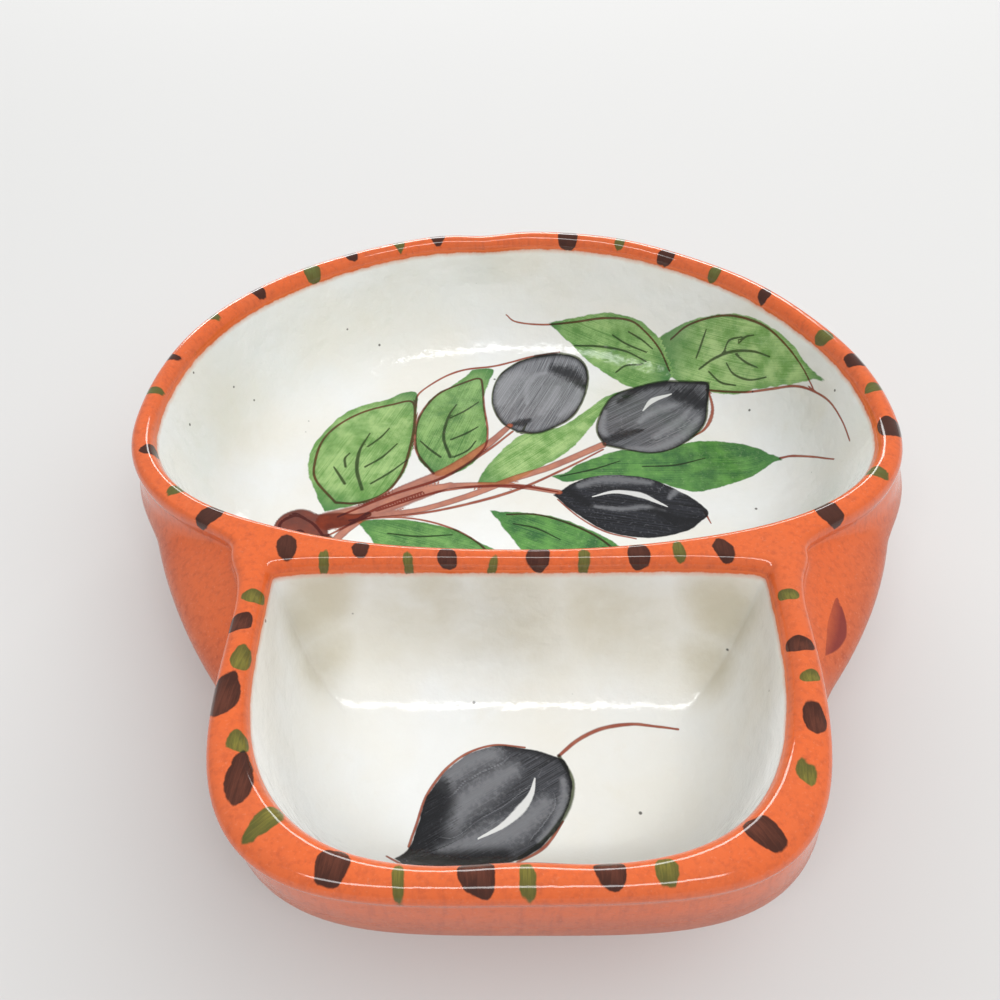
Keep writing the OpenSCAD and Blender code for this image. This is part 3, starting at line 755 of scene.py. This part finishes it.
# Fine dark lines: the olives' rims and the veins of the leaves
first_rim, second_rim = OLIVES[0][3], OLIVES[1][3]
VEINS = [
    (first_rim[:7], 0.6, 0.5, 0.5), (first_rim[6:] + first_rim[:1], 1.0, 0.7, 0.9),
    (second_rim[:8], 0.7, 0.6, 0.9), (second_rim[7:] + second_rim[:1], 0.9, 0.5, 0.8),
    ([(1.1, 41.5), (2.6, 45.5)], 0.9, 0.7, 0.3),
    ([(-38.9, 21), (-40.9, 28), (-40.9, 35), (-38.9, 41.5)], 0.9, 1, 0.4),
    ([(-38.9, 29), (-34.9, 32.5), (-31.4, 37.5)], 0.6, 0.7, 0.4),
    ([(-36.9, 23), (-32.4, 27), (-28.4, 31.5)], 0.6, 0.7, 0.4),
    ([(-38.9, 36.5), (-35.9, 40), (-33.9, 43.5)], 0.6, 0.6, 0.4),
    ([(-43.4, 23), (-45.4, 26.5), (-46.9, 29)], 0.8, 0.7, 0.4),
    ([(-43.9, 29), (-44.4, 32), (-43.4, 34)], 0.7, 0.7, 0.4),
    ([(-17.4, 32.5), (-19.4, 40), (-18.4, 48), (-16.4, 53)], 0.9, 0.8, 0.4),
    ([(-17.9, 47.5), (-13.9, 50.5), (-10.4, 54)], 0.6, 0.6, 0.4),
    ([(-17.4, 39), (-13.4, 41.5), (-10.4, 44)], 0.6, 0.7, 0.4),
    ([(-16.4, 32.5), (-12.9, 35), (-10.9, 38.5)], 0.6, 0.6, 0.4),
    ([(-19.9, 32.5), (-22.9, 35.5), (-25.4, 38.5)], 0.7, 0.7, 0.4),
    ([(17.1, 74), (24.1, 73), (31.6, 70.5), (37.1, 66.5)], 0.5, 0.7, 0.4),
    ([(28.6, 75.5), (32.1, 72.5), (37.6, 69)], 0.5, 0.6, 0.4),
    ([(33.6, 75.5), (37.1, 72.5), (39.6, 69.5)], 0.5, 0.6, 0.4),
    ([(28.1, 65), (31.1, 66.5), (35.6, 66)], 0.5, 0.6, 0.4),
    ([(51.6, 60.5), (56.6, 61.5), (63.1, 61), (69.6, 58), (74.1, 54)], 0.6, 0.8, 0.5),
    ([(60.6, 62), (63.6, 64), (68.1, 63)], 0.5, 0.6, 0.4),
    ([(66.1, 62), (69.1, 62.5), (72.1, 61.5)], 0.5, 0.6, 0.4),
    ([(64.1, 59.5), (66.1, 56.5), (69.1, 53.5)], 0.5, 0.7, 0.4),
    ([(60.1, 59), (61.1, 55.5), (65.1, 52), (70.6, 50)], 0.5, 0.6, 0.4),
    ([(51.6, 63.5), (54.6, 66.5), (57.6, 69.5)], 0.5, 0.7, 0.4),
    ([(54.1, 59), (56.6, 55), (60.6, 52.5)], 0.5, 0.6, 0.4),
    ([(10.6, 25.5), (19.1, 28), (26.1, 31)], 0.4, 0.6, 0.3),
    ([(31.6, 29), (40.1, 29.5), (48.1, 32)], 0.4, 0.6, 0.3),
    ([(-1.4, 9.5), (4.1, 8), (9.6, 4.5)], 0.4, 0.6, 0.3),
    ([(-31.4, 6.5), (-23.9, 5.5), (-15.9, 6)], 0.4, 0.6, 0.3)]
# Sweeps of a thinner and of a fuller brush over the olives, and the lights left bare
MAIN_GREYS = [
    ([(-4.6, 54), (-2.9, 61.6), (1, 65.6)], 3, 5, 3),
    ([(2.8, 53.6), (2.9, 60.7), (5, 64.9), (8.4, 66.2)], 1, 2, 1),
    ([(6.2, 49.5), (9.6, 54.4), (11.2, 59.9)], 2, 3, 2),
    ([(11.5, 48.7), (16.4, 54.4), (18.1, 59.9)], 1.5, 2.5, 1.5),
    ([(23.8, 50.3), (22.2, 43.9), (24, 39.6)], 1, 2.2, 1),
    ([(32.7, 45.9), (36.3, 49.5), (41.5, 51.9), (46.2, 52.7)], 1.5, 2.4, 1),
    ([(36.1, 40), (42.6, 45.5), (47.3, 50.9)], 1.5, 2.4, 1),
    ([(28.6, 35.5), (35.5, 35.5), (42.6, 40), (48.3, 46.8)], 1.5, 2.6, 1.5),
    ([(15.3, 22.1), (20.5, 24.2), (26.7, 24.2), (32.9, 23.2)], 1.5, 3, 1.5),
    ([(17.9, 15.3), (24.6, 14.3), (30.8, 15), (35.5, 13.7)], 0.8, 1.4, 0.6),
    ([(37.2, 18), (39.3, 20.4), (42.4, 20.1), (44.5, 17)], 1, 2.2, 1)]
MAIN_DARKS = [
    ([(10.9, 67.4), (15.6, 65.2), (18.7, 60.7)], 3, 5, 3),
    ([(-0.9, 45.1), (1.3, 45.5), (3.4, 46.7)], 2, 3, 1.5),
    ([(28.1, 54), (34.1, 59.3), (41.1, 59.8)], 2, 3, 3),
    ([(44.1, 55.3), (47.1, 53.7), (50.2, 50.7)], 4, 6, 4),
    ([(23.7, 38.9), (28.3, 41.2), (32.9, 42.7)], 3, 3.4, 1),
    ([(33.5, 13.7), (38, 10.4), (42.1, 10.4)], 3, 5, 4),
    ([(11.8, 21.1), (14.6, 18), (17.9, 15.3)], 2, 2.6, 1)]
MAIN_WHITES = [
    ([(18.1, 18.4), (23.9, 20.1), (30, 19), (33.4, 17), (36.4, 15)], 0.3, 1.8, 0.3),
    ([(34, 50.3), (37.2, 54.5), (42.5, 55.9)], 0.3, 1.7, 0.4)]
# Where the main bowl's walls are tinted a darker yellow: place, reach and depth
MAIN_WALL_TINTS = [
    (80, 40, 18, 0.5), (74, 66, 16, 0.4), (-72, 30, 24, 0.3), (20, 104, 34, 0.35),
    (-42, 94, 24, 0.4)]
PIT_OLIVES = [
    ((-23.6, -72.4), (8.4, -52.7), 0.85, [(-24.2, -72.6), (-21.2, -69.4), (-19.9, -65.2),
      (-18.7, -60.5), (-17, -57.1), (-14.2, -53.4), (-10.4, -50.6), (-5.6, -49.1), (0.3, -49.6),
      (5.2, -50.8), (8, -52.3), (9.2, -56.1), (8.8, -60.1), (6.9, -64.4), (4.5, -67.7),
      (2.1, -70.1), (-1.4, -72.4), (-8, -74), (-16, -74.6), (-21.6, -74.4)])]
PIT_LINES = [
    ([(6.9, -51.2), (10.9, -47.7), (15.9, -45.2), (21.9, -44.2), (26.4, -44.7),
      (31.4, -45.4)], 0.7, 0.9, 0.5),
    ([(-25.6, -72.2), (-22.1, -74.7)], 0.5, 0.7, 0.6),
    ([(-21.4, -69.4), (-20.1, -65.2), (-18.9, -60.5), (-17.2, -57), (-14.4, -53.3), (-10.5, -50.4),
      (-5.6, -48.9), (0.3, -49.4)], 0.5, 0.6, 0.4),
    ([(-1.4, -72.7), (2.3, -70.3), (4.8, -67.8), (7.1, -64.4)], 0.6, 0.7, 0.4)]
PIT_VEINS = [
    ([(6.9, -51.2), (9.2, -56.2), (8.2, -61.7), (4.4, -67.2), (-1.1, -71.7)], 0.8, 1, 0.8)]
PIT_GREYS = [
    ([(-14.7, -57.1), (-13.6, -54.2), (-10.4, -51.9), (-6.1, -50.8)], 3, 6, 4),
    ([(-13.4, -65.3), (-11.1, -61.1), (-6.5, -57.1), (-2.3, -54.2)], 3, 5, 3),
    ([(-15.5, -70), (-8.8, -68.3), (-1.8, -65.9), (3.9, -61.1)], 1.5, 5, 3),
    ([(2.7, -68.1), (5.4, -64.9), (7.5, -60.1), (7.5, -56.1)], 1, 2, 1)]
PIT_DARKS = [
    ([(-23.4, -71.6), (-19.2, -67.4), (-16.4, -61.6), (-15.4, -57.5)], 4, 8, 3),
    ([(-20.1, -72.6), (-10.9, -72.4), (-4.2, -71.1)], 4, 4.5, 3)]
PIT_WHITES = [
    ([(2.1, -55.9), (1.3, -59.1), (-0.8, -62.2), (-4.2, -65.3), (-8.6, -67.7)], 0.3, 1.8, 0.3)]
# Stains in the pit bowl's back corners and on its right wall; the three at -16 across its back wall
# are painted shade
PIT_STAINS_AND_SHADE = [
    (-50, -24, 10, 1), (-43, -34, 8, 0.75), (50, -24, 10, 1), (42, -34, 8, 0.85),
    (-4, -16, 24, 0.7), (-28, -16, 20, 0.7), (26, -16, 20, 0.7), (56, -48, 16, 0.4)]
main_lines = {"greys": MAIN_GREYS, "darks": MAIN_DARKS, "lights": MAIN_WHITES, "stems": STEMS,
              "butt": BUTT, "lines": LINES, "dark_lines": VEINS}
pit_lines = {"greys": PIT_GREYS, "darks": PIT_DARKS, "lights": PIT_WHITES, "stems": [],
             "butt": [], "lines": PIT_LINES, "dark_lines": PIT_VEINS}
for piece, flat, leaves, olives, stains_and_shade, fields in (
        (main_coat, main_flat, LEAVES, OLIVES, MAIN_WALL_TINTS, main_lines),
        (pit_coat, pit_flat, [], PIT_OLIVES, PIT_STAINS_AND_SHADE, pit_lines)):
    # The stain tint for each point, which on the pit bowl's back wall is painted shade
    stain_and_shade = np.max([depth * np.exp(-((flat - (x, y)) ** 2).sum(1) / reach ** 2)
                    for x, y, reach, depth in stains_and_shade], 0)
    give(piece, "stain_and_shade", np.c_[stain_and_shade, stain_and_shade, stain_and_shade])
    for name, shapes in (("leaf", leaves), ("olive", olives)):
        field, places = patches(flat, shapes)
        give(piece, name, field)
        give(piece, name + "_place", places)
    for name, lines in fields.items():
        give(piece, name, strokes(flat, lines, 0 if name in ("greys", "darks") else 2))

# Cream slip under clear gloss glaze: a soft warm white, faintly stained where the slip is
# thin, with iron specks. Leaves are washes of copper green, deeper where the brush
# stopped, olives are manganese black thinned to grey, lines are iron red.
cream_slip, tree = start_material("painted_cream_slip_under_clear_glaze")
spot = add("TexCoord", out=3)
cloud = add("TexNoise", {"Vector": spot, "Scale": 1 / (24 * MM), "Detail": 3.0})
blotch = add("TexNoise", {"Vector": spot, "Scale": 1 / (5 * MM), "Detail": 5.0, "Roughness": 0.6})
fine = add("TexNoise", {"Vector": spot, "Scale": 1 / (0.8 * MM), "Detail": 4.0, "Roughness": 0.6})
ragged = add("TexNoise", {"Vector": spot, "Scale": 1 / (2.6 * MM), "Detail": 3.0})
ragged = add("Math", {0: ragged, 1: 0.5}, operation="SUBTRACT")
below = add("SeparateXYZ", {0: add("Attribute", out=1, attribute_name="below")})
warm = add("MapRange", {0: cloud, 1: 0.35, 2: 0.65})
colour = add("Mix", {0: warm, 6: paint("#E9EBEA"), 7: paint("#E8E7E0")}, **BLEND)
# The glaze is stained a brownish yellow in the pit bowl's back corners, faintly elsewhere; the same
# tint across the pit bowl's back wall is painted shade
patchy = add("MapRange", {0: add("Math", {0: cloud, 1: blotch}), 1: 0.75, 2: 1.25, 3: 0.75, 4: 1.1})
stained_and_shaded = add("Math", {0: add("Attribute", out=2, attribute_name="stain_and_shade"), 1: patchy}, **TIMES)
colour = marked(colour, [
    (stained_and_shaded, 0.05, 1.0, 0.55, "#B3A781"), (blotch, 0.58, 0.8, 0.12, "#DAD3BF")])
# Iron specks, up to 0.8 mm across, some 8 mm apart
speck = add("TexVoronoi", {"Vector": spot, "Scale": 1 / (8 * MM)})
mask = add("MapRange", {0: speck, 1: 0.03, 2: 0.052, 3: 0.85, 4: 0.0})
colour = add("Mix", {0: mask, 6: colour, 7: paint("#3A3530")}, **BLEND)

# Leaves: streaks run from base to tip in a thin wash, which pools at the rim and the ends
patch = add("Attribute", out=1, attribute_name="leaf")
edge, tone = add("SeparateXYZ", {0: patch}), add("SeparateXYZ", {0: patch}, 1)
place = add("Attribute", out=1, attribute_name="leaf_place")
along = add("SeparateXYZ", {0: place})
drawn = add("VectorMath", {0: place, 1: (1.6, 11, 1)}, **TIMES)
streak = add("TexNoise", {"Vector": drawn, "Scale": 1.0, "Detail": 5.0, "Roughness": 0.62})
edge = add("Math", {0: ragged, 1: 1.1, 2: edge}, **TIMES_PLUS)
ends = add("Math", {0: add("Math", {0: along, 1: 0.5}, operation="SUBTRACT")}, operation="ABSOLUTE")
streak = add("Math", {0: blotch, 1: 0.7, 2: streak}, **TIMES_PLUS)
full = add("MapRange", {0: streak, 1: 0.7, 2: 0.98}, **SOFTLY)
wash = add("Mix", {0: full, 6: paint("#B4D38A"), 7: paint("#64993E")}, **BLEND)
deep = add("Mix", {0: full, 6: paint("#5E9A42"), 7: paint("#165A1E")}, **BLEND)
wash = add("Mix", {0: tone, 6: wash, 7: deep}, **BLEND)
wash = marked(wash, [(edge, -2.4, -0.2, 0.4, "#47842F"), (ends, 0.3, 0.52, 0.75, "#226B2A"),
                     (fine, 0.55, 0.75, 0.2, "#B9D39A")])
mask = add("MapRange", {0: edge, 1: -0.3, 2: 0.1, 3: 0.97, 4: 0.0}, **SOFTLY)
colour = add("Mix", {0: mask, 6: colour, 7: wash}, **BLEND)

# Olives: a thinned black wash, darkest at the rim, with broad sweeps of thinner and of
# fuller brush inside it and a crescent that is left bare
patch = add("Attribute", out=1, attribute_name="olive")
edge, tone = add("SeparateXYZ", {0: patch}), add("SeparateXYZ", {0: patch}, 1)
place = add("SeparateXYZ", {0: add("Attribute", out=1, attribute_name="olive_place")}).node
sweep = add("CombineXYZ", {0: add("Math", {0: place.outputs[0], 1: 1.4}, **TIMES),
                           1: add("Math", {0: place.outputs[1], 1: 7.0}, **TIMES),
                           2: add("Math", {0: edge, 1: 0.16}, **TIMES)})
streak = add("TexNoise", {"Vector": sweep, "Scale": 1.0, "Detail": 3.0, "Roughness": 0.5})
edge = add("Math", {0: ragged, 1: 0.7, 2: edge}, **TIMES_PLUS)
thin = add("MapRange", {0: streak, 1: 0.34, 2: 0.68})
wash = add("Mix", {0: thin, 6: paint("#5A5C61"), 7: paint("#A0A2A7")}, **BLEND)
thin = add("MapRange", {0: streak, 1: 0.42, 2: 0.75})
deep = add("Mix", {0: thin, 6: paint("#0F1014"), 7: paint("#3C3E47")}, **BLEND)
wash = add("Mix", {0: tone, 6: wash, 7: deep}, **BLEND)
wash = marked(wash, [(fine, 0.54, 0.72, 0.2, "#8C8E93"), (edge, -1.7, -0.1, 0.8, "#131418")])
dry = add("Math", {0: add("Math", {0: fine, 1: streak}), 1: 1.0}, operation="SUBTRACT")


def brushed(name, grain, dryness, soft, cover):
    """How far out from the middle of a brush line, roughened by a grain, and its cover."""
    way = add("Attribute", out=1, attribute_name=name)
    reach = add("VectorMath", {0: way}, 1, operation="LENGTH")
    reach = add("Math", {0: grain, 1: dryness, 2: reach}, **TIMES_PLUS)
    return reach, add("MapRange", {0: reach, 1: 1 - soft, 2: 1 + soft, 3: cover, 4: 0.0}, **SOFTLY)


for name, soft, dryness, cover, tint in (("greys", 0.9, 2.6, 0.42, "#A3A5AA"),
                                         ("darks", 0.7, 1.4, 0.86, "#0E0F13"),
                                         ("lights", 0.25, 0.3, 0.93, "#E0E1E0")):
    reach, mask = brushed(name, dry, dryness, soft, cover)
    wash = add("Mix", {0: mask, 6: wash, 7: paint(tint)}, **BLEND)
mask = add("MapRange", {0: edge, 1: -0.2, 2: 0.15, 3: 1.0, 4: 0.0}, **SOFTLY)
colour = add("Mix", {0: mask, 6: colour, 7: wash}, **BLEND)

# Brush lines lie over the washes; a stem is a pale wash that dries darker at its edges
for name, blend, soft, cover, tint, thin, rim in (
        ("stems", "MIX", 0.2, 0.88, "#BC6A46", "#A05034", "#84361E"),
        ("butt", "MIX", 0.2, 0.96, "#7A2600", "#5E1A00", "#5E1A00"),
        ("dark_lines", "MULTIPLY", 0.5, 0.97, "#5C644E", "#747C60", "#5C644E"),
        ("lines", "MULTIPLY", 0.45, 0.97, "#A04A34", "#B2644A", "#8E3C28")):
    reach, mask = brushed(name, ragged, soft, soft, cover)
    uneven = add("MapRange", {0: blotch, 1: 0.4, 2: 0.62})
    ink = add("Mix", {0: uneven, 6: paint(tint), 7: paint(thin)}, **BLEND)
    pooled = add("MapRange", {0: reach, 1: 0.5, 2: 0.95})
    ink = add("Mix", {0: pooled, 6: ink, 7: paint(rim)}, **BLEND)
    colour = add("Mix", {0: mask, 6: colour, 7: ink}, **BLEND, blend_type=blend)

# The slip ends in a soft, uneven line; above it the glaze lies on bare clay
uneven = add("TexNoise", {"Vector": spot, "Scale": 1 / (3.4 * MM), "Detail": 5.0, "Roughness": 0.6})
edge = add("Math", {0: uneven, 1: 1.2, 2: below}, **TIMES_PLUS)
edge = add("Math", {0: fine, 1: 0.5, 2: edge}, **TIMES_PLUS)
rim_clay = add("MapRange", {0: cloud, 1: 0.3, 2: 0.7})
rim_clay = add("Mix", {0: rim_clay, 6: paint("#D96733"), 7: paint("#E0703C")}, **BLEND)
rim_clay = dabbed(rim_clay, spot)
mask = add("MapRange", {0: edge, 1: 0.65, 2: 2.0, 3: 0.65, 4: 0.0}, **SOFTLY)
colour = add("Mix", {0: mask, 6: colour, 7: paint("#E0A488")}, **BLEND)
mask = add("MapRange", {0: edge, 1: 0.45, 2: 0.95, 3: 1.0, 4: 0.0}, **SOFTLY)
colour = add("Mix", {0: mask, 6: colour, 7: rim_clay}, **BLEND)

rough = add("Math", {0: fine, 1: 0.06, 2: 0.07}, **TIMES_PLUS)
# The glaze has run in slow waves, so long lights break up
waves = add("TexNoise", {"Vector": spot, "Scale": 1 / (5.5 * MM), "Detail": 1.5})
waves = add("Math", {0: ragged, 1: 0.5, 2: waves}, **TIMES_PLUS)
waves = add("Math", {0: fine, 1: 0.14, 2: waves}, **TIMES_PLUS)
bump = add("Bump", {"Height": waves, "Distance": 0.5 * MM, "Strength": 0.6})
shader = add("BsdfPrincipled", {"Base Color": colour, "Roughness": rough, "Normal": bump,
                                "IOR": 1.5})
add("OutputMaterial", {"Surface": shader})
for piece, solid in ((main_coat, "main_slip_coat"), (pit_coat, "pit_slip_coat")):
    piece.data.materials.append(cream_slip)
    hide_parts(solid)
    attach(piece, "root")

# Studio: a plain matt floor and soft daylight from above. A long tube lamp overhead and
# a low window behind draw the thin bright lines along the glazed rims and bends.
floor_mesh = bpy.data.meshes.new("floor")
floor_mesh.from_pydata([(-4, -4, 0), (4, -4, 0), (4, 4, 0), (-4, 4, 0)], [], [(0, 1, 2, 3)])
floor = bpy.data.objects.new("floor", floor_mesh)
scene.collection.objects.link(floor)
floor_paint, tree = start_material("matt_pale_floor")
shader = add("BsdfPrincipled", {"Base Color": paint("#D3D3D2"), "Roughness": 0.9,
                                "Specular IOR Level": 0.1})
add("OutputMaterial", {"Surface": shader})
floor_mesh.materials.append(floor_paint)

for name, place, width, depth, power in (
        ("soft_daylight", (0.85, 0, 1.3), 1.8, 1.8, 10),
        ("tube_lamp", (-0.05, -0.56, 1.1), 1.2, 0.17, 6.5),
        ("low_window", (-0.1, 1.3, 0.46), 1.6, 0.3, 14)):
    lamp_data = bpy.data.lights.new(name, "AREA")
    lamp_data.shape = "RECTANGLE"
    lamp_data.size, lamp_data.size_y, lamp_data.energy = width, depth, power
    lamp = bpy.data.objects.new(name, lamp_data)
    lamp.location = place
    lamp.visible_glossy = name != "soft_daylight"
    lamp.rotation_euler = (-math.atan2(place[1], place[2]), math.atan2(place[0], place[2]), 0)
    scene.collection.objects.link(lamp)
world = bpy.data.worlds.new("pale_room")
world.use_nodes = True
room_light = world.node_tree.nodes["Background"].inputs
room_light["Color"].default_value = paint("#F2F2F2")
room_light["Strength"].default_value = 0.56
scene.world = world
